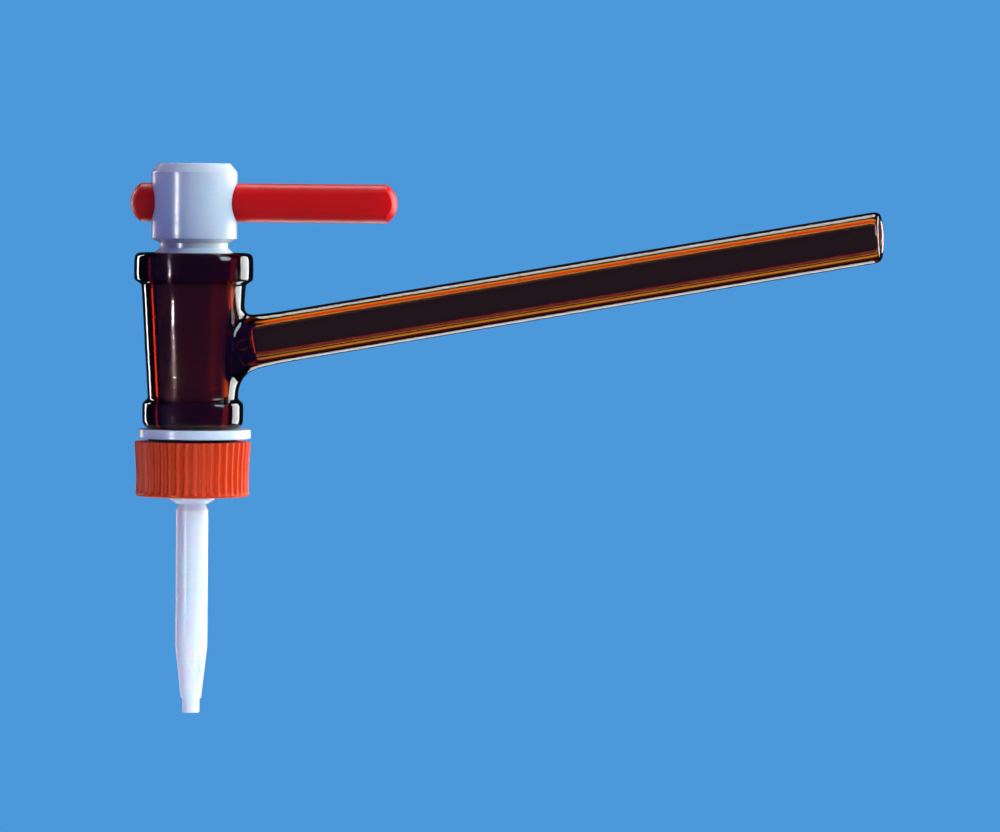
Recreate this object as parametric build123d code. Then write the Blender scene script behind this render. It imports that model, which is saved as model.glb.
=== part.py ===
"""Lateral burette stopcock: a tapered glass barrel with a side arm, a turning plug with a lever,
a washer, an O-ring and a fluted nut that pull the plug into its seat, and a push-in outlet tip.

Frame: millimetres, +Z up along the plug's axis, +X towards the side arm.
The origin is the centre of the outlet tip's end face. The lever points along +X, which is open.
"""

import math
import os

from build123d import *

# ---- outlet tip: a turned nozzle that pushes into the plug's end -----------------------------
tip_length = 32.8  # end face to shoulder
tip_dia = 5.1
tip_shoulder_width = 0.45
tip_shoulder_length = 0.95
tip_cone_length = 8.2
tip_cone_end_dia = 3.2
tip_cone_round = 6.0  # where the cone runs into the straight body
nozzle_dia = 2.7
nozzle_length = 2.3
nozzle_edge = 0.15
tip_bore_dia = 2.0
outlet_bore_dia = 1.1
outlet_bore_length = 9.0
spigot_dia = 3.8
spigot_length = 6.0

# ---- plug: tapered key, threaded shank, neck and head ----------------------------------------
plug_mouth_dia = 12.3  # the taper's diameter where it enters the barrel's mouth
taper_per_mm = 0.1  # change of diameter per millimetre of length, a 1:10 taper
plug_end_inset = 1.0  # the taper stops this far inside the barrel's foot
shank_dia = 8.0
shank_flat_depth = 0.4
stub_step = 0.45  # the stub under the nut is this much thinner all round
stub_length = 1.2  # what shows of the shank below the nut
stub_chamfer_width = 1.05
stub_chamfer_length = 0.65
neck_dia = 10.7
neck_flare_length = 0.75
neck_length = 0.75
head_dia = 13.5
head_height = 12.5  # with both chamfers
head_top_chamfer_width = 1.1
head_top_chamfer_length = 1.35
head_foot_chamfer_length = 0.7
head_edge = 0.15
plug_bore_dia = 2.0

# ---- lever: a rod through the head, with domed ends and two thumb flats ----------------------
lever_dia = 6.1
lever_long_reach = 31.9  # from the plug's axis
lever_short_reach = 10.0
lever_dome_radius = 3.6
lever_height_in_head = 6.35  # axis above the head's lower edge
thumb_flat_start = 14.5  # from the plug's axis
thumb_flat_depth = 0.72  # at the lever's end

# ---- glass barrel and side arm ---------------------------------------------------------------
barrel_length = 27.7
mouth_wall = 2.34  # the glass round the seat, under the rims
foot_wall = 2.0
mouth_rim_width = 0.86  # how far the rim stands out of the wall
mouth_rim_length = 4.3
foot_rim_width = 1.16
foot_rim_length = 4.05
rim_slope_length = 0.7  # each rim's shoulder
mouth_rim_round = 1.0
foot_rim_round = 1.3
rim_shoulder_round = 0.5
bore_edge_round = 0.3
arm_dia = 8.0
arm_root_dia = 9.0  # at the plug's axis, from where the arm narrows to its plain tube
arm_root_length = 14.0
arm_bore_dia = 5.0
arm_reach = 110.0  # from the plug's axis, along the arm
arm_slope_deg = 10.0
arm_height_on_barrel = 12.1  # where the two axes cross, above the barrel's foot
arm_bore_floor = 8.8  # from the plug's axis, along the arm
arm_bore_floor_round = 1.0
arm_end_round = 0.6
junction_round = 2.2
port_dia = 2.4

# ---- washer, O-ring and nut ------------------------------------------------------------------
washer_dia = 17.7
washer_thickness = 1.45
washer_play = 0.4  # radial, on the shank
washer_rest_offset = 0.3  # it lies to one side of its play
washer_flats_play = 0.1
washer_edge = 0.15
o_ring_outer_dia = 14.5
o_ring_width = 2.1
o_ring_height = 1.85
o_ring_round = 0.8
o_ring_proud = 0.5  # of the nut's recess
nut_height = 8.6
nut_top_dia = 18.3
nut_foot_dia = 17.8
nut_recess_play = 0.2
nut_foot_round = 0.35
nut_top_round = 0.15
flute_count = 42
flute_radius = 0.42
flute_depth = 0.36
flute_start = 0.45  # plain lip below the flutes

# ---- clearances ------------------------------------------------------------------------------
seat_clearance = 0.03  # plug in barrel, radial
thread_clearance = 0.05  # nut on shank, radial
push_clearance = 0.02  # lever in head and spigot in socket, radial
face_gap = 0.03  # between faces that would touch

# ---- sizes and heights that follow, from the outlet upwards ----------------------------------
stub_dia = shank_dia - 2 * stub_step
shank_flats_width = shank_dia - 2 * shank_flat_depth
shank_end_z = tip_length + face_gap
nut_foot_z = shank_end_z + stub_length
nut_top_z = nut_foot_z + nut_height
washer_foot_z = nut_top_z + o_ring_proud
washer_top_z = washer_foot_z + washer_thickness
barrel_foot_z = washer_top_z + face_gap
mouth_z = barrel_foot_z + barrel_length
plug_end_z = barrel_foot_z + plug_end_inset
neck_foot_z = mouth_z + neck_flare_length
head_foot_z = neck_foot_z + neck_length
head_top_z = head_foot_z + head_height
lever_z = head_foot_z + lever_height_in_head
arm_cross_z = barrel_foot_z + arm_height_on_barrel

arm_slope = math.radians(arm_slope_deg)
arm_direction = Vector(math.cos(arm_slope), 0, math.sin(arm_slope))


def taper_radius(z):
    """The plug's radius at a height."""
    return plug_mouth_dia / 2 - (mouth_z - z) * taper_per_mm / 2


def seat_radius(z):
    """The radius of the barrel's tapered seat at a height."""
    return taper_radius(z) + seat_clearance


def wall_radius(z):
    """The barrel's outside radius at a height, between its rims."""
    share = (z - barrel_foot_z) / barrel_length
    return seat_radius(z) + foot_wall + (mouth_wall - foot_wall) * share


def turned(points, rounds=None):
    """A solid of revolution about Z. points are (radius, height), and rounds gives a fillet
    radius for some of them, by their place in the list."""
    face = make_face(Polyline(*points, close=True))
    for index, radius in (rounds or {}).items():
        corner = Vector(*points[index])
        vertex = min(face.vertices(), key=lambda v: (Vector(*v) - corner).length)
        face = fillet(vertex, radius)
    return revolve(Plane.XZ * face, Axis.Z, 360)


def along_arm(radius, start, end, start_radius=None):
    """A round bar on the side arm's axis, from one distance to another from the plug's axis.
    With start_radius it is a cone that begins at that radius."""
    place = Plane(origin=(0, 0, arm_cross_z) + arm_direction * start, z_dir=arm_direction)
    on_start = (Align.CENTER, Align.CENTER, Align.MIN)
    if start_radius is None:
        return place * Cylinder(radius, end - start, align=on_start)
    return place * Cone(start_radius, radius, end - start, align=on_start)


def upright(radius, foot, top):
    """A round bar on the plug's axis."""
    return Pos(0, 0, foot) * Cylinder(radius, top - foot, align=(Align.CENTER, Align.CENTER, Align.MIN))


def arm_circles(shape, distance):
    """The round edges centred on the side arm's axis at a distance from the plug's axis."""
    centre = Vector(0, 0, arm_cross_z) + arm_direction * distance
    circles = shape.edges().filter_by(GeomType.CIRCLE)
    return [edge for edge in circles if (edge.arc_center - centre).length < 1e-3]


def circle_edges(shape, radius, z):
    """The round edges on the plug's axis with that radius at that height."""
    found = []
    for edge in shape.edges().filter_by(GeomType.CIRCLE):
        middle = edge.arc_center
        on_axis = math.hypot(middle.X, middle.Y) < 1e-3
        if on_axis and abs(middle.Z - z) < 1e-3 and abs(edge.radius - radius) < 1e-3:
            found.append(edge)
    return found


def make_glass_barrel():
    """One piece of glass: the tapered barrel with its two rims, and the side arm fused to it."""
    foot_rim = wall_radius(barrel_foot_z) + foot_rim_width
    mouth_rim = wall_radius(mouth_z) + mouth_rim_width
    foot_rim_top = barrel_foot_z + foot_rim_length
    foot_shoulder = foot_rim_top + rim_slope_length
    mouth_rim_foot = mouth_z - mouth_rim_length
    mouth_shoulder = mouth_rim_foot - rim_slope_length
    outline = [
        (0, barrel_foot_z),
        (foot_rim, barrel_foot_z),
        (foot_rim, foot_rim_top),
        (wall_radius(foot_shoulder), foot_shoulder),
        (wall_radius(mouth_shoulder), mouth_shoulder),
        (mouth_rim, mouth_rim_foot),
        (mouth_rim, mouth_z),
        (0, mouth_z),
    ]
    rounds = {
        1: foot_rim_round,
        2: rim_shoulder_round,
        3: rim_shoulder_round,
        4: rim_shoulder_round,
        5: rim_shoulder_round,
        6: mouth_rim_round,
    }
    barrel = turned(outline, rounds)
    root = along_arm(arm_dia / 2, 0, arm_root_length, arm_root_dia / 2)
    arm = root + along_arm(arm_dia / 2, arm_root_length, arm_reach)
    glass = barrel + arm
    junction = new_edges(barrel, arm, combined=glass)
    glass = fillet(junction, junction_round)

    # The seat for the plug, with softened edges.
    seat_foot = seat_radius(barrel_foot_z)
    seat_mouth = seat_radius(mouth_z)
    seat = Cone(seat_foot, seat_mouth, barrel_length, align=(Align.CENTER, Align.CENTER, Align.MIN))
    glass -= Pos(0, 0, barrel_foot_z) * seat
    glass = fillet(circle_edges(glass, seat_foot, barrel_foot_z), bore_edge_round)
    glass = fillet(circle_edges(glass, seat_mouth, mouth_z), bore_edge_round)

    # The arm's bore stops short of the seat, and a narrow port goes on from it.
    bore = along_arm(arm_bore_dia / 2, arm_bore_floor, arm_reach)
    bore = fillet(arm_circles(bore, arm_bore_floor), arm_bore_floor_round)
    port = along_arm(port_dia / 2, 0, arm_bore_floor + arm_bore_floor_round)
    glass = glass - bore - port

    # The arm's free end is fire-polished.
    return fillet(arm_circles(glass, arm_reach), arm_end_round)


def make_plug():
    """The plug: head, neck, 1:10 taper and threaded shank, bored from the port to the tip."""
    stub_start = nut_foot_z + stub_chamfer_length
    outline = [
        (0, shank_end_z),
        (stub_dia / 2 - stub_chamfer_width, shank_end_z),
        (stub_dia / 2, shank_end_z + stub_chamfer_length),
        (stub_dia / 2, stub_start),
        (shank_dia / 2, stub_start + (shank_dia - stub_dia) / 2),
        (shank_dia / 2, plug_end_z),
        (taper_radius(plug_end_z), plug_end_z),
        (taper_radius(mouth_z), mouth_z),
        (neck_dia / 2, neck_foot_z),
        (neck_dia / 2, head_foot_z),
        (head_dia / 2, head_foot_z + head_foot_chamfer_length),
        (head_dia / 2, head_top_z - head_top_chamfer_length),
        (head_dia / 2 - head_top_chamfer_width, head_top_z),
        (0, head_top_z),
    ]
    rounds = {6: head_edge, 10: head_edge, 11: head_edge, 12: head_edge}
    plug = turned(outline, rounds)

    # Two flats along the shank keep the washer from turning with the nut.
    for side in (-1, 1):
        flat = Box(
            shank_dia,
            shank_dia,
            plug_end_z - stub_start,
            align=(Align.CENTER, Align.MIN if side > 0 else Align.MAX, Align.MIN),
        )
        plug -= Pos(0, side * shank_flats_width / 2, stub_start) * flat

    # The waterway: port, axial bore and the socket for the tip's spigot.
    socket_top = shank_end_z + spigot_length + face_gap
    plug -= upright(plug_bore_dia / 2, shank_end_z, arm_cross_z)
    plug -= along_arm(plug_bore_dia / 2, 0, plug_mouth_dia)
    plug -= upright(spigot_dia / 2 + push_clearance, shank_end_z, socket_top)

    # The cross hole for the lever.
    hole = Pos(0, 0, lever_z) * Rot(0, 90, 0) * Cylinder(lever_dia / 2 + push_clearance, 2 * head_dia)
    return plug - hole


def make_lever():
    """The lever: a round rod, domed at both ends, with a thumb flat on each side."""
    radius = lever_dia / 2
    rise = lever_dome_radius - math.sqrt(lever_dome_radius**2 - radius**2)
    half_angle = math.asin(radius / lever_dome_radius) / 2
    mid_along = lever_dome_radius * (1 - math.cos(half_angle))
    mid_out = lever_dome_radius * math.sin(half_angle)
    left, right = -lever_short_reach, lever_long_reach
    outline = [
        ThreePointArc((left, 0), (left + mid_along, mid_out), (left + rise, radius)),
        Line((left + rise, radius), (right - rise, radius)),
        ThreePointArc((right - rise, radius), (right - mid_along, mid_out), (right, 0)),
        Line((right, 0), (left, 0)),
    ]
    rod = revolve(make_face(Wire(outline)), Axis.X, 360)
    flat_end = right + lever_dia
    run = flat_end - thumb_flat_start
    drop = thumb_flat_depth * run / (right - thumb_flat_start)
    for side in (-1, 1):
        wedge = make_face(
            Polyline(
                (thumb_flat_start, side * radius),
                (flat_end, side * (radius - drop)),
                (flat_end, side * 2 * radius),
                (thumb_flat_start, side * 2 * radius),
                close=True,
            )
        )
        rod -= extrude(wedge, lever_dia, both=True)
    return Pos(0, 0, lever_z) * rod


def make_washer():
    """The sliding washer, keyed to the shank's flats, with a chamfered rim."""
    disc = upright(washer_dia / 2, washer_foot_z, washer_top_z)
    disc = chamfer(disc.edges().filter_by(GeomType.CIRCLE), washer_edge)
    disc = Pos(washer_rest_offset, 0, 0) * disc
    hole_width = shank_flats_width + 2 * washer_flats_play
    hole = upright(shank_dia / 2 + washer_play, washer_foot_z, washer_top_z)
    hole &= Pos(0, 0, washer_foot_z) * Box(
        2 * shank_dia, hole_width, washer_thickness, align=(Align.CENTER, Align.CENTER, Align.MIN)
    )
    return disc - Pos(washer_rest_offset, 0, 0) * hole


def make_o_ring():
    """The O-ring, squeezed a little flat between the washer and the nut's recess."""
    foot = washer_foot_z - face_gap - o_ring_height
    outer = o_ring_outer_dia / 2
    inner = outer - o_ring_width
    outline = [
        (inner, foot),
        (outer, foot),
        (outer, foot + o_ring_height),
        (inner, foot + o_ring_height),
    ]
    return turned(outline, {0: o_ring_round, 1: o_ring_round, 2: o_ring_round, 3: o_ring_round})


def make_nut():
    """The fluted nut, with a recess in its top for the O-ring."""
    recess_foot = washer_foot_z - o_ring_height - 2 * face_gap
    recess = o_ring_outer_dia / 2 + nut_recess_play
    bore = shank_dia / 2 + thread_clearance
    outline = [
        (bore, nut_foot_z),
        (nut_foot_dia / 2, nut_foot_z),
        (nut_top_dia / 2, nut_top_z),
        (recess, nut_top_z),
        (recess, recess_foot),
        (bore, recess_foot),
    ]
    nut = turned(outline, {1: nut_foot_round, 2: nut_top_round})

    # Round-bottomed flutes that follow the nut's slight taper.
    lean = math.degrees(math.atan((nut_top_dia - nut_foot_dia) / 2 / nut_height))
    centre = nut_foot_dia / 2 + flute_radius - flute_depth
    start = nut_foot_z + flute_start
    flute = Cylinder(flute_radius, 2 * nut_height, align=(Align.CENTER, Align.CENTER, Align.MIN))
    flute = Pos(centre, 0, start) * Rot(0, lean, 0) * flute
    return nut - [Rot(0, 0, 360 * n / flute_count) * flute for n in range(flute_count)]


def make_tip():
    """The outlet tip: spigot, shoulder, straight body, cone and nozzle, bored through."""
    body = tip_dia / 2
    cone_foot = nozzle_length
    cone_top = nozzle_length + tip_cone_length
    spigot_top = tip_length + spigot_length
    outline = [
        (0, 0),
        (nozzle_dia / 2, 0),
        (nozzle_dia / 2, cone_foot),
        (tip_cone_end_dia / 2, cone_foot),
        (body, cone_top),
        (body, tip_length - tip_shoulder_length),
        (body - tip_shoulder_width, tip_length),
        (spigot_dia / 2, tip_length),
        (spigot_dia / 2, spigot_top),
        (0, spigot_top),
    ]
    tip = turned(outline, {1: nozzle_edge, 4: tip_cone_round})
    tip -= upright(outlet_bore_dia / 2, 0, outlet_bore_length)
    return tip - upright(tip_bore_dia / 2, outlet_bore_length, spigot_top)


makers = {
    "glass_barrel": make_glass_barrel,
    "plug": make_plug,
    "lever": make_lever,
    "washer": make_washer,
    "o_ring": make_o_ring,
    "nut": make_nut,
    "outlet_tip": make_tip,
}

os.makedirs("parts", exist_ok=True)
for name, make in makers.items():
    solid = make()
    export_step(solid, f"parts/{name}.step")
    print(name, round(solid.volume, 1), "mm3")
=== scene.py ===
# %% [markdown]
# A lateral burette stopcock: a tapered amber glass barrel with a side arm, held by a turning
# white plug with a red lever, and pulled tight from below by a washer, an O-ring and a fluted
# nut. It hangs in a plain blue studio over a pale floor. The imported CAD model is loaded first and
# stays fixed; each finished piece below takes its place from the CAD piece that it stands for.

import math

import bmesh
import bpy
from mathutils import Matrix, Vector


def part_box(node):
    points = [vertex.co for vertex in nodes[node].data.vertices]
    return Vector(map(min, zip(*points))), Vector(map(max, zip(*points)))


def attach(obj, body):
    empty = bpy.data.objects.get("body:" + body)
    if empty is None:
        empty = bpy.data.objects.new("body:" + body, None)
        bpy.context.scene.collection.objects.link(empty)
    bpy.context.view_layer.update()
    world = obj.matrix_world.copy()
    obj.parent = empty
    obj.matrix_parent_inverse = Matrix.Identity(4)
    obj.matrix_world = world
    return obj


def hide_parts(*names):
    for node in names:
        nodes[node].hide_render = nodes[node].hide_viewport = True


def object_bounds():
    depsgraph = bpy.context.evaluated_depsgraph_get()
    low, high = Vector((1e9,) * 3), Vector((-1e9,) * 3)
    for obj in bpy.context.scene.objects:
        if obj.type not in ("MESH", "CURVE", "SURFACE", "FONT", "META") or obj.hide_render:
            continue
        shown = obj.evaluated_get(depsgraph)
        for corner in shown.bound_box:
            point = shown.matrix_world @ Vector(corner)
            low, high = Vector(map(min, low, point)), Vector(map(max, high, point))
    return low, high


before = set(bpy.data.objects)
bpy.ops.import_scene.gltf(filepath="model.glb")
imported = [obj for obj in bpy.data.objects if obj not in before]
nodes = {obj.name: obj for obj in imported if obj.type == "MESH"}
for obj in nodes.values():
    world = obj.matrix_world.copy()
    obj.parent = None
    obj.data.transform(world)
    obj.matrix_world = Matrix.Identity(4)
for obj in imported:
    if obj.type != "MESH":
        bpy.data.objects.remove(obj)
cad_low, cad_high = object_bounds()
MM = 0.001

# %% [markdown]
# The camera stands a metre away with a long lens, almost level with the lever. Its aim and height
# are small steps from the middle of the object's box, and it rolls by half a degree.

# %% Camera
CAMERA_DISTANCE = 1.0
CAMERA_AIM_RIGHT = -0.0012
CAMERA_AIM_UP = 0.0039
CAMERA_RISE = 0.0334
CAMERA_ROLL_DEG = 0.5
LENS_MM, SENSOR_MM = 229.3, 36

middle = (cad_low + cad_high) / 2
aim = Vector((middle.x + CAMERA_AIM_RIGHT, 0, middle.z + CAMERA_AIM_UP))
camera_data = bpy.data.cameras.new("camera")
camera_data.sensor_width = SENSOR_MM
camera_data.lens = LENS_MM
camera_data.clip_start = 0.05
camera_data.clip_end = 30
camera = bpy.data.objects.new("camera", camera_data)
camera.location = aim + Vector((0, -CAMERA_DISTANCE, CAMERA_RISE))
look = (aim - camera.location).to_track_quat("-Z", "Y").to_matrix().to_4x4()
roll = Matrix.Rotation(math.radians(CAMERA_ROLL_DEG), 4, "Z")
camera.matrix_world = Matrix.Translation(camera.location) @ look @ roll
bpy.context.collection.objects.link(camera)
bpy.context.scene.camera = camera
bpy.context.scene.view_settings.view_transform = "Standard"
print("camera at", [round(x, 4) for x in camera.location])

# %% [markdown]
# Colours are written as the hex values that a colour picker shows, and one function turns them
# to the linear values that shaders use. A second small function adds one shader node, with its
# settings and its links, so that a material reads as a list of steps.


# %% Colour and node helpers
def linear(hex_colour):
    """A #rrggbb colour as linear RGBA."""
    channels = [int(hex_colour[i : i + 2], 16) / 255 for i in (1, 3, 5)]
    return [c / 12.92 if c <= 0.04045 else ((c + 0.055) / 1.055) ** 2.4 for c in channels] + [1.0]


def add_node(tree, kind, links=None, **settings):
    """Adds one shader node. A setting is an attribute, or an input socket by name or number;
    links says which other node's output feeds an input."""
    node = tree.nodes.new(kind)
    for name, value in settings.items():
        if hasattr(node, name):
            setattr(node, name, value)
    for name, value in settings.items():
        if not hasattr(node, name):
            key = int(name[1:]) if name[0] == "_" else name.replace("_", " ")
            node.inputs[key].default_value = value
    for name, source in (links or {}).items():
        tree.links.new(source, node.inputs[name])
    return node


def new_material(name):
    """An empty material with its output node."""
    material = bpy.data.materials.new(name)
    material.use_nodes = True
    material.node_tree.nodes.clear()
    return material, material.node_tree, material.node_tree.nodes.new("ShaderNodeOutputMaterial")


print("a mid grey is", round(linear("#808080")[0], 3), "in linear light")

# %% [markdown]
# Glass shows what stands around it, so the studio is built before the glass. The camera sees an
# even blue backdrop, and a view through the glass meets a deeper blue. A reflection finds a dim
# purple room in front and near darkness behind, which keeps dark glass dark and its outline sharp.
# For diffuse light the world is a weak fill, violet on the left and blue on the right, so that
# the lamps shape the white parts.

# %% World
BACKDROP_BLUE = "#4c98da"
DEEP_BLUE = "#5a76c8"
FILL_VIOLET = "#aa8cff"
FILL_BLUE = "#86c4ff"
FILL_STRENGTH = 0.27
ROOM_PURPLE = "#554090"
ROOM_DARK = "#1a2230"

world = bpy.data.worlds.new("studio")
bpy.context.scene.world = world
world.use_nodes = True
tree = world.node_tree
tree.nodes.clear()
path = add_node(tree, "ShaderNodeLightPath")
sky = add_node(tree, "ShaderNodeTexCoord")
heading = add_node(tree, "ShaderNodeSeparateXYZ", {0: sky.outputs["Generated"]})


def glow(tree, hex_colour, strength=1.0):
    """An even glow of one colour."""
    node = add_node(tree, "ShaderNodeBackground", Color=linear(hex_colour), Strength=strength)
    return node.outputs[0]


def blend(tree, share, first, second):
    """Goes from the first shader to the second as the share goes from 0 to 1."""
    return add_node(tree, "ShaderNodeMixShader", {0: share, 1: first, 2: second}).outputs[0]


def ramp(tree, value, start, end):
    """Rises smoothly from 0 to 1 between two values."""
    node = add_node(tree, "ShaderNodeMapRange", {"Value": value}, interpolation_type="SMOOTHSTEP",
                    From_Min=start, From_Max=end, To_Min=0.0, To_Max=1.0)
    return node.outputs[0]


rightward = ramp(tree, heading.outputs["X"], -0.6, 0.4)
backward = ramp(tree, heading.outputs["Y"], -0.25, 0.45)
left_fill, right_fill = (glow(tree, c, FILL_STRENGTH) for c in (FILL_VIOLET, FILL_BLUE))
fill = blend(tree, rightward, left_fill, right_fill)
room = blend(tree, backward, glow(tree, ROOM_PURPLE), glow(tree, ROOM_DARK))
seen = blend(tree, path.outputs["Is Glossy Ray"], fill, room)
seen = blend(tree, path.outputs["Is Transmission Ray"], seen, glow(tree, DEEP_BLUE))
seen = blend(tree, path.outputs["Is Camera Ray"], seen, glow(tree, BACKDROP_BLUE))
add_node(tree, "ShaderNodeOutputWorld", {"Surface": seen})
print("world has", len(tree.nodes), "nodes")

# %% [markdown]
# The floor is a pale disc well below the outlet. It fades into the backdrop towards its rim, so
# it has no horizon, and it keeps the soft shadow of the object.

# %% Floor
FLOOR_DROP = 0.060
FLOOR_RADIUS = 0.55
FADE_START = 0.16
FADE_END = 0.42

floor_centre = (middle.x, 0, cad_low.z - FLOOR_DROP)
floor_mesh = bmesh.new()
bmesh.ops.create_circle(floor_mesh, cap_ends=True, segments=96, radius=FLOOR_RADIUS,
                        matrix=Matrix.Translation(floor_centre))
floor_data = bpy.data.meshes.new("floor")
floor_mesh.to_mesh(floor_data)
floor_mesh.free()
floor = bpy.data.objects.new("floor", floor_data)
bpy.context.collection.objects.link(floor)
floor.visible_shadow = False
floor.visible_transmission = False
floor.visible_glossy = False
material, tree, output = new_material("pale_floor")
place = add_node(tree, "ShaderNodeTexCoord")
centred = add_node(tree, "ShaderNodeVectorMath", {0: place.outputs["Object"]},
                   operation="SUBTRACT", _1=floor_centre)
reach = add_node(tree, "ShaderNodeVectorMath", {0: centred.outputs[0]}, operation="LENGTH")
fade = ramp(tree, reach.outputs["Value"], FADE_START, FADE_END)
matt = add_node(tree, "ShaderNodeBsdfPrincipled", Base_Color=linear("#a9c9e6"), Roughness=0.9,
                Specular_IOR_Level=0.2)
clear = add_node(tree, "ShaderNodeBsdfTransparent")
faded = blend(tree, fade, matt.outputs[0], clear.outputs[0])
tree.links.new(faded, output.inputs["Surface"])
floor_data.materials.append(material)
print("floor at", round(floor_centre[2], 3))

# %% [markdown]
# Glass tubes are drawn by strips of light. A ray that enters near the arm's edge leaves again 17
# to 65 degrees up or down, so glow strips above and below the backdrop light its two amber lines,
# and edge strips draw the white lines outside them. Edge strips show only as reflections, and
# glow strips only through the glass.
# A large soft box on the right lights the white plug, boxes beside the backdrop draw the upright
# lines on the barrel, and one small bright lamp in front draws its highlight.


# %% Lamps
LAMP_TARGET = Vector((middle.x * 0.6, 0, middle.z + 0.01))


def soft_box(name, azimuth, elevation, distance, width, height, radiance, tint="#ffffff",
             lights="all", aim_z=None, spread_deg=180):
    """A rectangular lamp that faces the object. Azimuth 0 is the camera's side and 90 is the
    right; radiance is how bright it looks, so power follows from its area. A lamp may light only
    matt finishes, only show in glossy ones or only shine through glass. A grid narrows its
    spread, and aim_z points it at the plug's axis at that height."""
    data = bpy.data.lights.new(name, "AREA")
    data.shape = "RECTANGLE"
    data.size = width
    data.size_y = height
    data.color = linear(tint)[:3]
    data.energy = radiance * width * height * math.pi
    data.spread = math.radians(spread_deg)
    lamp = bpy.data.objects.new(name, data)
    a, e = math.radians(azimuth), math.radians(elevation)
    away = Vector((math.sin(a) * math.cos(e), -math.cos(a) * math.cos(e), math.sin(e)))
    centre = LAMP_TARGET if aim_z is None else Vector((0, 0, aim_z))
    turn = away.to_track_quat("Z", "Y").to_matrix().to_4x4()
    lamp.matrix_world = Matrix.Translation(centre + away * distance) @ turn
    lamp.visible_camera = False
    lamp.visible_diffuse = lights in ("all", "matt")
    lamp.visible_glossy = lights in ("all", "glossy")
    lamp.visible_transmission = lights in ("all", "through")
    bpy.context.collection.objects.link(lamp)
    print(name, "radiance", radiance, "power", round(data.energy, 2))


soft_box("key_right", 68, 24, 0.9, 0.36, 0.50, 9.5, tint="#e4f6ff")
soft_box("back_right", 122, 8, 0.9, 0.50, 0.80, 8.0)
soft_box("back_left", -134, 6, 0.9, 0.13, 0.80, 7.0)
soft_box("front_left", -46, 1.5, 0.9, 0.035, 0.075, 460.0, lights="glossy")
soft_box("edge_above", 180, 62, 0.80, 0.55, 0.28, 6.0, lights="glossy")
soft_box("edge_below", 180, -43, 0.80, 0.55, 0.38, 3.5, lights="glossy")
soft_box("glow_above", 180, 41, 0.75, 0.55, 0.22, 14.0, tint="#dcffa8", lights="through")
soft_box("glow_high", 180, 59, 0.75, 0.55, 0.22, 9.0, tint="#ff7440", lights="through")
soft_box("glow_below", 180, -47, 0.75, 0.55, 0.28, 10.0, tint="#dcffa8", lights="through")
soft_box("glow_low", 180, -25, 0.75, 0.55, 0.20, 1.3, tint="#ff6a50", lights="through")
soft_box("glow_left", -134, 6, 0.85, 0.13, 0.80, 40.0, tint="#ff7060", lights="through")
soft_box("glow_right", 122, 8, 0.85, 0.50, 0.80, 9.0, tint="#ffa0a0", lights="through")
soft_box("glow_front", 64, 10, 0.85, 0.36, 0.50, 13.0, tint="#ff6070", lights="through")
soft_box("overhead", 20, 82, 0.7, 0.40, 0.30, 3.0, tint="#dcf4ff", lights="matt")
soft_box("underneath", 20, -75, 0.7, 0.40, 0.30, 3.8, lights="matt")
soft_box("tip_light", 10, -6, 0.5, 0.06, 0.06, 0.62, tint="#f2f8ff", lights="matt",
         aim_z=0.004, spread_deg=10)


# %% [markdown]
# Most of the pieces are turned, on a lathe or in a mould, so they are made as a lathe would: an
# outline is drawn on one side of the axis, its corners are rounded, and it is spun round.


# %% Turning
def outline(bm, points, closed=False):
    """Draws (radius, height) points in millimetres as a wire. A point that also gives a length
    and a number of steps is a corner, rounded by that length along both of its sides."""
    verts = [bm.verts.new((r * MM, 0, z * MM)) for r, z, *_ in points]
    pairs = list(zip(verts, verts[1:])) + ([(verts[-1], verts[0])] if closed else [])
    for pair in pairs:
        bm.edges.new(pair)
    for vert, point in zip(verts, points):
        if len(point) > 2:
            bmesh.ops.bevel(bm, geom=[vert], offset=point[2] * MM, offset_type="OFFSET",
                            affect="VERTICES", segments=point[3], profile=0.5, material=-1,
                            clamp_overlap=False)


def turn_round(bm, steps):
    """Spins everything in the mesh a full turn round the plug's axis and closes the poles."""
    bmesh.ops.spin(bm, geom=bm.verts[:] + bm.edges[:], cent=(0, 0, 0), axis=(0, 0, 1),
                   angle=math.tau, steps=steps, use_merge=True)
    bmesh.ops.remove_doubles(bm, verts=bm.verts[:], dist=1e-7)
    bmesh.ops.recalc_face_normals(bm, faces=bm.faces[:])


def finish_piece(bm, name, body, material, replaced, levels=0, smooth_deg=40):
    """Makes the object from its mesh, smooth except at sharp edges, and gives it its place."""
    data = bpy.data.meshes.new(name)
    bmesh.ops.recalc_face_normals(bm, faces=bm.faces[:])
    for face in bm.faces:
        face.smooth = True
    for edge in bm.edges:
        edge.smooth = edge.calc_face_angle(0) < math.radians(smooth_deg)
    bm.to_mesh(data)
    open_edges = sum(1 for edge in bm.edges if len(edge.link_faces) != 2)
    bm.free()
    piece = bpy.data.objects.new(name, data)
    data.materials.append(material)
    bpy.context.collection.objects.link(piece)
    if levels:
        smoother = piece.modifiers.new("smooth", "SUBSURF")
        smoother.levels = levels
        smoother.render_levels = levels
    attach(piece, body)
    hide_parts(replaced)
    print(name, len(data.polygons), "faces,", open_edges, "open edges")


print("turning helpers ready")

# %% [markdown]
# Amber borosilicate glass is coloured all the way through: iron and sulphur in the melt take
# away blue first, then green. So the surface is clear and smooth, and the colour comes from how
# far light travels inside: thin walls glow orange, thick ones go near black. The mould left very
# shallow rings on the pressed barrel's plain side, which break its highlight into dots; the side
# towards the arm and the drawn arm are almost even.

# %% Amber glass
GLASS_IOR = 1.473
AMBER_TINT = (0.65, 0.46, 0.0)
AMBER_DENSITY = 2000.0

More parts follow.
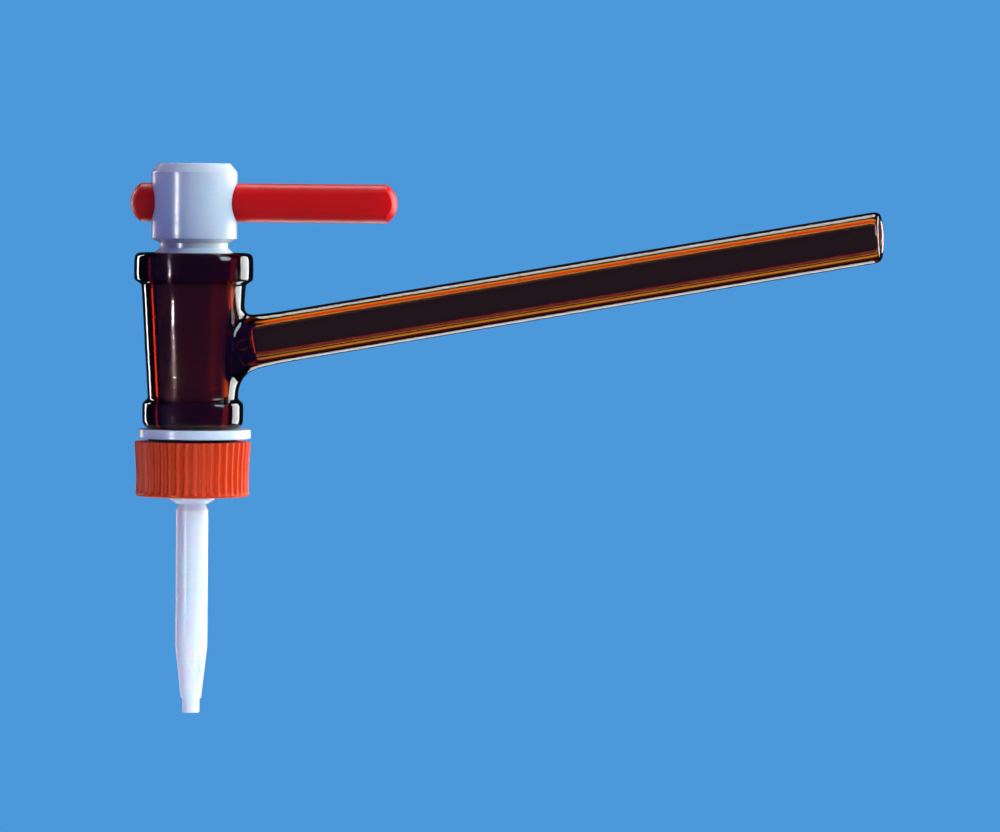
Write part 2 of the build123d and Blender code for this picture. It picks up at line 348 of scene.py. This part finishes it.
glass, tree, output = new_material("amber_borosilicate_glass")
place = add_node(tree, "ShaderNodeTexCoord")
rings = add_node(tree, "ShaderNodeMapping", {"Vector": place.outputs["Object"]},
                 Scale=(25, 25, 1200))
waves = add_node(tree, "ShaderNodeTexNoise", {"Vector": rings.outputs[0]}, Scale=1.0, Detail=2.0,
                 Roughness=0.5)
split = add_node(tree, "ShaderNodeSeparateXYZ", {0: place.outputs["Object"]})
plain_side = add_node(tree, "ShaderNodeMapRange", {"Value": split.outputs["X"]}, From_Min=-0.002,
                      From_Max=0.003, To_Min=1.0, To_Max=0.02)
ripple = add_node(tree, "ShaderNodeBump",
                  {"Strength": plain_side.outputs[0], "Height": waves.outputs[0]}, Distance=0.0002)
surface = add_node(tree, "ShaderNodeBsdfPrincipled", {"Normal": ripple.outputs[0]},
                   Base_Color=linear("#ffffff"), Roughness=0.0, IOR=GLASS_IOR,
                   Transmission_Weight=1.0)
inside = add_node(tree, "ShaderNodeVolumeAbsorption", Color=(*AMBER_TINT, 1),
                  Density=AMBER_DENSITY)
tree.links.new(surface.outputs[0], output.inputs["Surface"])
tree.links.new(inside.outputs[0], output.inputs["Volume"])
print("absorption per mm", [round(AMBER_DENSITY * MM * (1 - c), 2) for c in AMBER_TINT])

# %% [markdown]
# The barrel and its arm are one piece of glass. The barrel is turned from a closed outline: up
# the outside with its two rims, over the mouth and down the tapered seat. The arm is fused on by
# a glass blower, so its root flows into the barrel. To get that, a block of faces is taken out of
# the barrel's side and the gap's edge is carried on, ring by ring: over the barrel, round the
# flare, along the arm, over its fire-polished end and back down its bore.

# %% Glass sizes
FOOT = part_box("glass_barrel")[0].z / MM
MOUTH = FOOT + 27.7
SEAT_AT_MOUTH = 6.18
SEAT_SLOPE = 0.05
FOOT_WALL, MOUTH_WALL = 2.0, 2.34
FOOT_RIM, MOUTH_RIM = 1.16, 0.86
FOOT_RIM_TOP, MOUTH_RIM_FOOT = FOOT + 4.05, MOUTH - 4.3
RIM_SLOPE = 0.7
ARM_RADIUS, ARM_ROOT_RADIUS, ARM_ROOT_LENGTH, BORE_RADIUS = 4.0, 4.5, 14.0, 2.5
ARM_REACH, ARM_SLOPE_DEG, ARM_RISE = 110.0, 10.0, 12.1
BORE_FLOOR, PORT_RADIUS = 8.8, 1.2
FLARE_SIDE, FLARE_TOP, FLARE_BELOW = 1.1, 1.4, 2.8
END_LEAN_UP, END_LEAN_BACK = 0.12, 0.18
ARM_CROSS = FOOT + ARM_RISE
FLARE_ALONG, PORT_GAP_HALF = 8.0, 1.4


def seat(z):
    """The radius of the seat at a height, in millimetres."""
    return SEAT_AT_MOUTH - (MOUTH - z) * SEAT_SLOPE


def wall(z):
    """The radius of the barrel's outside between its rims."""
    return seat(z) + FOOT_WALL + (MOUTH_WALL - FOOT_WALL) * (z - FOOT) / (MOUTH - FOOT)


print("wall at foot and mouth", round(wall(FOOT), 2), round(wall(MOUTH), 2))

# %% [markdown]
# A ring of points round an axis is moved by its distance and angle there. Each new ring is an
# extrusion of the last ring's edges, and a small function says where its points go.


# %% Rings round an axis
def grow(bm, edges, origin, direction, place):
    """Extrudes a closed loop of edges. place(angle, even, radius, along) gives each new point's
    radius, angle and distance along the axis; even is its angle if all were evenly spaced."""
    side = Vector((0, 1, 0))
    up = direction.cross(side)
    made = bmesh.ops.extrude_edge_only(bm, edges=edges)["geom"]
    verts = [g for g in made if isinstance(g, bmesh.types.BMVert)]
    polar = []
    for vert in verts:
        offset = vert.co - origin
        across, rise = offset.dot(side), offset.dot(up)
        angle, radius = math.atan2(rise, across), math.hypot(across, rise)
        polar.append((angle, radius, offset.dot(direction), vert))
    polar.sort(key=lambda p: p[0])
    step = math.tau / len(polar)
    start = sum(p[0] - i * step for i, p in enumerate(polar)) / len(polar)
    for i, (angle, radius, along, vert) in enumerate(polar):
        radius, angle, along = place(angle, start + i * step, radius, along)
        spoke = side * math.cos(angle) + up * math.sin(angle)
        vert.co = origin + direction * along + radius * spoke
    new = set(verts)
    return [g for g in made if isinstance(g, bmesh.types.BMEdge) and new.issuperset(g.verts)]


def meet(radius, angle, origin, direction, radius_at):
    """How far along an axis the point at that radius and angle meets a turned surface."""
    side = Vector((0, 1, 0))
    up = direction.cross(side)
    start = origin + radius * (side * math.cos(angle) + up * math.sin(angle))
    along = 0.007
    for _ in range(8):
        point = start + direction * along
        reach = radius_at(point.z / MM) * MM
        along += (math.sqrt(max(reach**2 - point.y**2, 0)) - point.x) / direction.x
    return along


def take_out(bm, low_z, high_z, half_deg, near_radius, slack):
    """Deletes the faces on the +X side between two heights that lie near a radius, and returns
    the loop of edges round the gap."""
    block = []
    for face in bm.faces:
        centre = face.calc_center_median()
        turn = abs(math.degrees(math.atan2(centre.y, centre.x)))
        near = abs(math.hypot(centre.x, centre.y) / MM - near_radius(centre.z / MM)) < slack
        if low_z < centre.z / MM < high_z and turn < half_deg and near:
            block.append(face)
    edges = [edge for face in block for edge in face.edges]
    rim = [edge for edge in edges if sum(face in block for face in edge.link_faces) == 1]
    bmesh.ops.delete(bm, geom=block, context="FACES")
    return [edge for edge in rim if edge.is_valid]


print("ring helpers ready")

# %% Turn the barrel
BARREL_STEPS = 48
BLOCK_LOW, BLOCK_HIGH, BLOCK_ROWS = ARM_CROSS - 6.8, ARM_CROSS + 8.4, 12
RIDGE = 0.06
PORT_MIDDLE = ARM_CROSS + seat(ARM_CROSS) * math.tan(math.radians(ARM_SLOPE_DEG))

foot_shoulder, mouth_shoulder = FOOT_RIM_TOP + RIM_SLOPE, MOUTH_RIM_FOOT - RIM_SLOPE
foot_rim, mouth_rim = wall(FOOT) + FOOT_RIM, wall(MOUTH) + MOUTH_RIM
rows = [BLOCK_LOW + (BLOCK_HIGH - BLOCK_LOW) * i / BLOCK_ROWS for i in range(BLOCK_ROWS + 1)]
points = [(seat(FOOT), FOOT, 0.3, 2), (foot_rim, FOOT, 1.3, 3), (foot_rim, FOOT_RIM_TOP, 0.3, 2)]
points += [(wall(foot_shoulder), foot_shoulder, 0.25, 2)]
points += [(wall(z) + (RIDGE if z == rows[BLOCK_ROWS // 2] else 0), z) for z in rows]
points += [(wall(mouth_shoulder), mouth_shoulder, 0.3, 2), (mouth_rim, MOUTH_RIM_FOOT, 0.3, 2)]
points += [(mouth_rim, MOUTH, 1.0, 3), (seat(MOUTH), MOUTH, 0.3, 2)]
points += [(seat(z), z) for z in (MOUTH - 5, PORT_MIDDLE + 3)]
port_rows = [PORT_MIDDLE + PORT_GAP_HALF * share for share in (1, 0.5, 0, -0.5, -1)]
points += [(seat(z), z) for z in port_rows]
points += [(seat(z), z) for z in (PORT_MIDDLE - 3, FOOT + 5)]

barrel = bmesh.new()
outline(barrel, points, closed=True)
turn_round(barrel, BARREL_STEPS)
print("barrel has", len(barrel.faces), "faces")

# %% Fuse the arm
slope = math.radians(ARM_SLOPE_DEG)
arm_origin = Vector((0, 0, ARM_CROSS * MM))
arm_direction = Vector((math.cos(slope), 0, math.sin(slope)))


def root_radius(along):
    """The arm's outside radius at a distance from the plug's axis, in metres."""
    share = min(along / (ARM_ROOT_LENGTH * MM), 1)
    return (ARM_ROOT_RADIUS + (ARM_RADIUS - ARM_ROOT_RADIUS) * share) * MM


def flare(angle):
    """How wide the arm's root flares over the barrel: most below, least at the sides."""
    end = FLARE_TOP if math.sin(angle) > 0 else FLARE_BELOW
    return (FLARE_SIDE + (end - FLARE_SIDE) * math.sin(angle) ** 2) * MM


def on_barrel(share):
    """A ring on the barrel's wall, part of the way from the gap's edge to the flare."""

    def place(angle, even, radius, along):
        turn = angle + (even - angle) * share
        reach = radius + (root_radius(FLARE_ALONG * MM) + flare(even) - radius) * share
        return reach, turn, meet(reach, turn, arm_origin, arm_direction, wall)

    return place


def round_flare(degrees):
    """A ring on the flare, from 0 degrees on the barrel to 90 on the arm."""

    def place(angle, even, radius, along):
        bend = math.radians(degrees)
        reach = root_radius(FLARE_ALONG * MM) + flare(even) * (1 - math.sin(bend))
        rise = flare(even) * (1 - math.cos(bend))
        return reach, even, meet(reach, even, arm_origin, arm_direction, wall) + rise

    return place


def across_arm(radius, along, slant=0):
    """A ring round the arm, in millimetres. slant leans it, longer above and behind."""

    def place(angle, even, old_radius, old_along):
        lean = slant * radius * (END_LEAN_UP * math.sin(even) + END_LEAN_BACK * math.cos(even))
        return radius * MM, even, (along + lean - 0.5 * slant) * MM

    return place


loop = take_out(barrel, BLOCK_LOW, BLOCK_HIGH, 60, wall, 0.6)
print("gap for the arm has", len(loop), "edges")
for share in (0.5, 1.0):
    loop = grow(barrel, loop, arm_origin, arm_direction, on_barrel(share))
for degrees in (30, 60, 90):
    loop = grow(barrel, loop, arm_origin, arm_direction, round_flare(degrees))
arm_rings = [(root_radius(0.0125) / MM, 12.5, 0), (ARM_RADIUS, 14.5, 0)]
arm_rings += [(ARM_RADIUS, 17 + 9.1 * i, 0) for i in range(11)]
outer_end = [(0, 1.1), (0.12, 0.45), (0.45, 0.08), (0.75, 0)]
inner_end = [(0.35, 0.08), (0.08, 0.35), (0, 0.9)]
arm_rings += [(ARM_RADIUS - inset, ARM_REACH - short, 1) for inset, short in outer_end]
arm_rings += [(BORE_RADIUS + out, ARM_REACH - short, 1) for out, short in inner_end]
arm_rings += [(BORE_RADIUS, 107.5 - 9 * i, 0) for i in range(11)]
arm_rings += [(BORE_RADIUS, 11.5, 0), (BORE_RADIUS, 9.8, 0)]
arm_rings += [(BORE_RADIUS - 0.15, BORE_FLOOR + 0.4, 0), (BORE_RADIUS - 0.5, BORE_FLOOR + 0.1, 0)]
arm_rings += [(PORT_RADIUS + 0.2, BORE_FLOOR, 0)]
for radius, along, slant in arm_rings:
    loop = grow(barrel, loop, arm_origin, arm_direction, across_arm(radius, along, slant))
bore_end = loop
print("arm has", len(arm_rings), "rings")

# %% Bore the port
def on_seat(angle, even, radius, along):
    """The port's ring where it opens into the tapered seat."""
    reach = PORT_RADIUS * MM
    return reach, even, meet(reach, even, arm_origin, arm_direction, seat)


loop = take_out(barrel, PORT_MIDDLE - PORT_GAP_HALF, PORT_MIDDLE + PORT_GAP_HALF, 15, seat, 0.3)
print("gap for the port has", len(loop), "edges")
loop = grow(barrel, loop, arm_origin, arm_direction, on_seat)
for along in (seat(ARM_CROSS) + 0.4, BORE_FLOOR - 0.3):
    loop = grow(barrel, loop, arm_origin, arm_direction, across_arm(PORT_RADIUS, along))
bmesh.ops.bridge_loops(barrel, edges=loop + bore_end)
finish_piece(barrel, "barrel_and_arm", "barrel", glass, "glass_barrel",
             levels=2, smooth_deg=180)

# %% [markdown]
# PTFE is a waxy white plastic, turned on a lathe: dense, a little see-through at its edges, with
# a soft broad sheen and very fine rings left by the tool.

# %% White PTFE
ptfe, tree, output = new_material("turned_ptfe")
place = add_node(tree, "ShaderNodeTexCoord")
rings = add_node(tree, "ShaderNodeMapping", {"Vector": place.outputs["Object"]},
                 Scale=(40, 40, 1600))
marks = add_node(tree, "ShaderNodeTexNoise", {"Vector": rings.outputs[0]}, Scale=1.0, Detail=3.0)
lathe = add_node(tree, "ShaderNodeBump", {"Height": marks.outputs[0]}, Strength=0.6,
                 Distance=0.00008)
surface = add_node(tree, "ShaderNodeBsdfPrincipled", {"Normal": lathe.outputs[0]},
                   Base_Color=linear("#edf0f2"), Roughness=0.24, IOR=1.38,
                   Subsurface_Weight=0.6, Subsurface_Scale=0.002)
tree.links.new(surface.outputs[0], output.inputs["Surface"])
for name in ("plug", "washer", "outlet_tip"):
    nodes[name].data.materials[0] = ptfe
print("plug, washer and tip are", ptfe.name)

# %% [markdown]
# The lever is a nylon rod, moulded in a strong warm red. Its skin is smooth with a soft gloss,
# and a very shallow orange peel keeps the highlight along it from being a ruled line.

# %% Red nylon
nylon, tree, output = new_material("moulded_red_nylon")
place = add_node(tree, "ShaderNodeTexCoord")
peel = add_node(tree, "ShaderNodeTexNoise", {"Vector": place.outputs["Object"]},
                Scale=900.0, Detail=2.0)
skin = add_node(tree, "ShaderNodeBump", {"Height": peel.outputs[0]}, Strength=0.25,
                Distance=0.00004)
surface = add_node(tree, "ShaderNodeBsdfPrincipled", {"Normal": skin.outputs[0]},
                   Base_Color=linear("#ff1812"), Roughness=0.36, Specular_IOR_Level=0.22,
                   IOR=1.53, Subsurface_Weight=0.7, Subsurface_Scale=0.004)
tree.links.new(surface.outputs[0], output.inputs["Surface"])
nodes["lever"].data.materials[0] = nylon
print("lever is", nylon.name)

# %% [markdown]
# The nut is moulded polypropylene, an orange plastic with a greasy half gloss that lets a little
# light in, so that its flutes glow red where they are deep.

# %% Orange polypropylene
polypropylene, tree, output = new_material("moulded_orange_polypropylene")
place = add_node(tree, "ShaderNodeTexCoord")
grain = add_node(tree, "ShaderNodeTexNoise", {"Vector": place.outputs["Object"]},
                 Scale=1400.0, Detail=3.0)
skin = add_node(tree, "ShaderNodeBump", {"Height": grain.outputs[0]}, Strength=0.3,
                Distance=0.00004)
surface = add_node(tree, "ShaderNodeBsdfPrincipled", {"Normal": skin.outputs[0]},
                   Base_Color=linear("#ee4208"), Roughness=0.46, Specular_IOR_Level=0.22,
                   IOR=1.49, Subsurface_Weight=0.2, Subsurface_Scale=0.0008)
tree.links.new(surface.outputs[0], output.inputs["Surface"])
print("nut is", polypropylene.name)

# %% [markdown]
# The nut is gripped with two fingers, so its skirt has 42 shallow flutes with round bottoms. It
# grows from a circle with ten points to each flute: every ring takes its own radius and its own
# depth of flute, and the skirt is drawn in a little at its waist, as a moulding shrinks.

# %% Nut
NUT_FOOT, NUT_TOP = (corner.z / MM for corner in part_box("nut"))
FLUTES, POINTS_PER_FLUTE = 42, 10
NUT_BORE, RECESS_RADIUS, RECESS_DEPTH = 4.05, 7.45, 1.41


def fluted(radius, depth, height):
    """A ring of the nut: flutes of that depth at that height above its foot, in millimetres."""

    def place(angle, even, old_radius, along):
        wander = 0.006 * math.sin(1.3 * height + 2.5 * math.sin(3 * even))
        wave = math.cos(FLUTES * (even + wander))
        uneven = 1 + 0.15 * math.sin(11 * even)
        valley = max(0.0, 0.62 + 0.75 * wave) / 1.37
        return (radius - depth * uneven * valley**0.8) * MM, even, height * MM

    return place


nut = bmesh.new()
nut_origin = Vector((0, 0, NUT_FOOT * MM))
nut_height = NUT_TOP - NUT_FOOT
bmesh.ops.create_circle(nut, cap_ends=False, segments=FLUTES * POINTS_PER_FLUTE,
                        radius=NUT_BORE * MM, matrix=Matrix.Translation(nut_origin))
first = loop = nut.edges[:]
recess_floor = nut_height - RECESS_DEPTH
skirt = [(8.4, 0, 0), (8.66, 0, 0.05), (8.84, 0, 0.2), (8.89, 0, 0.38)]
skirt += [(8.9, 0.08, 0.46), (8.89, 0.26, 0.6), (8.88, 0.36, 0.9)]
skirt += [(8.85, 0.38, 2.2), (8.85, 0.38, 3.4), (8.88, 0.38, 4.6), (8.95, 0.38, 5.8)]
skirt += [(9.03, 0.38, 7.0), (9.11, 0.38, nut_height - 0.3), (9.12, 0.37, nut_height - 0.12)]
skirt += [(9.07, 0.34, nut_height - 0.03), (8.98, 0.3, nut_height)]
hollow = [(RECESS_RADIUS + 0.1, 0, nut_height), (RECESS_RADIUS, 0, nut_height - 0.1)]
hollow += [(RECESS_RADIUS, 0, recess_floor), (NUT_BORE, 0, recess_floor)]
hollow += [(NUT_BORE, 0, nut_height / 2)]
for radius, depth, height in skirt + hollow:
    loop = grow(nut, loop, nut_origin, Vector((0, 0, 1)), fluted(radius, depth, height))
bmesh.ops.bridge_loops(nut, edges=first + loop)
finish_piece(nut, "fluted_nut", "nut", polypropylene, "nut")

# %% [markdown]
# The O-ring is nitrile rubber, black and dull, with a faint bloom. Only its bulging outer edge
# shows between the washer and the nut.

# %% Black rubber
rubber, tree, output = new_material("black_nitrile_rubber")
place = add_node(tree, "ShaderNodeTexCoord")
bloom = add_node(tree, "ShaderNodeTexNoise", {"Vector": place.outputs["Object"]},
                 Scale=500.0, Detail=3.0)
tone = add_node(tree, "ShaderNodeMapRange", {"Value": bloom.outputs[0]}, From_Min=0.3,
                From_Max=0.7, To_Min=0.42, To_Max=0.6)
surface = add_node(tree, "ShaderNodeBsdfPrincipled", {"Roughness": tone.outputs[0]},
                   Base_Color=linear("#17171a"), IOR=1.52)
tree.links.new(surface.outputs[0], output.inputs["Surface"])
nodes["o_ring"].data.materials[0] = rubber
print("O-ring is", rubber.name)
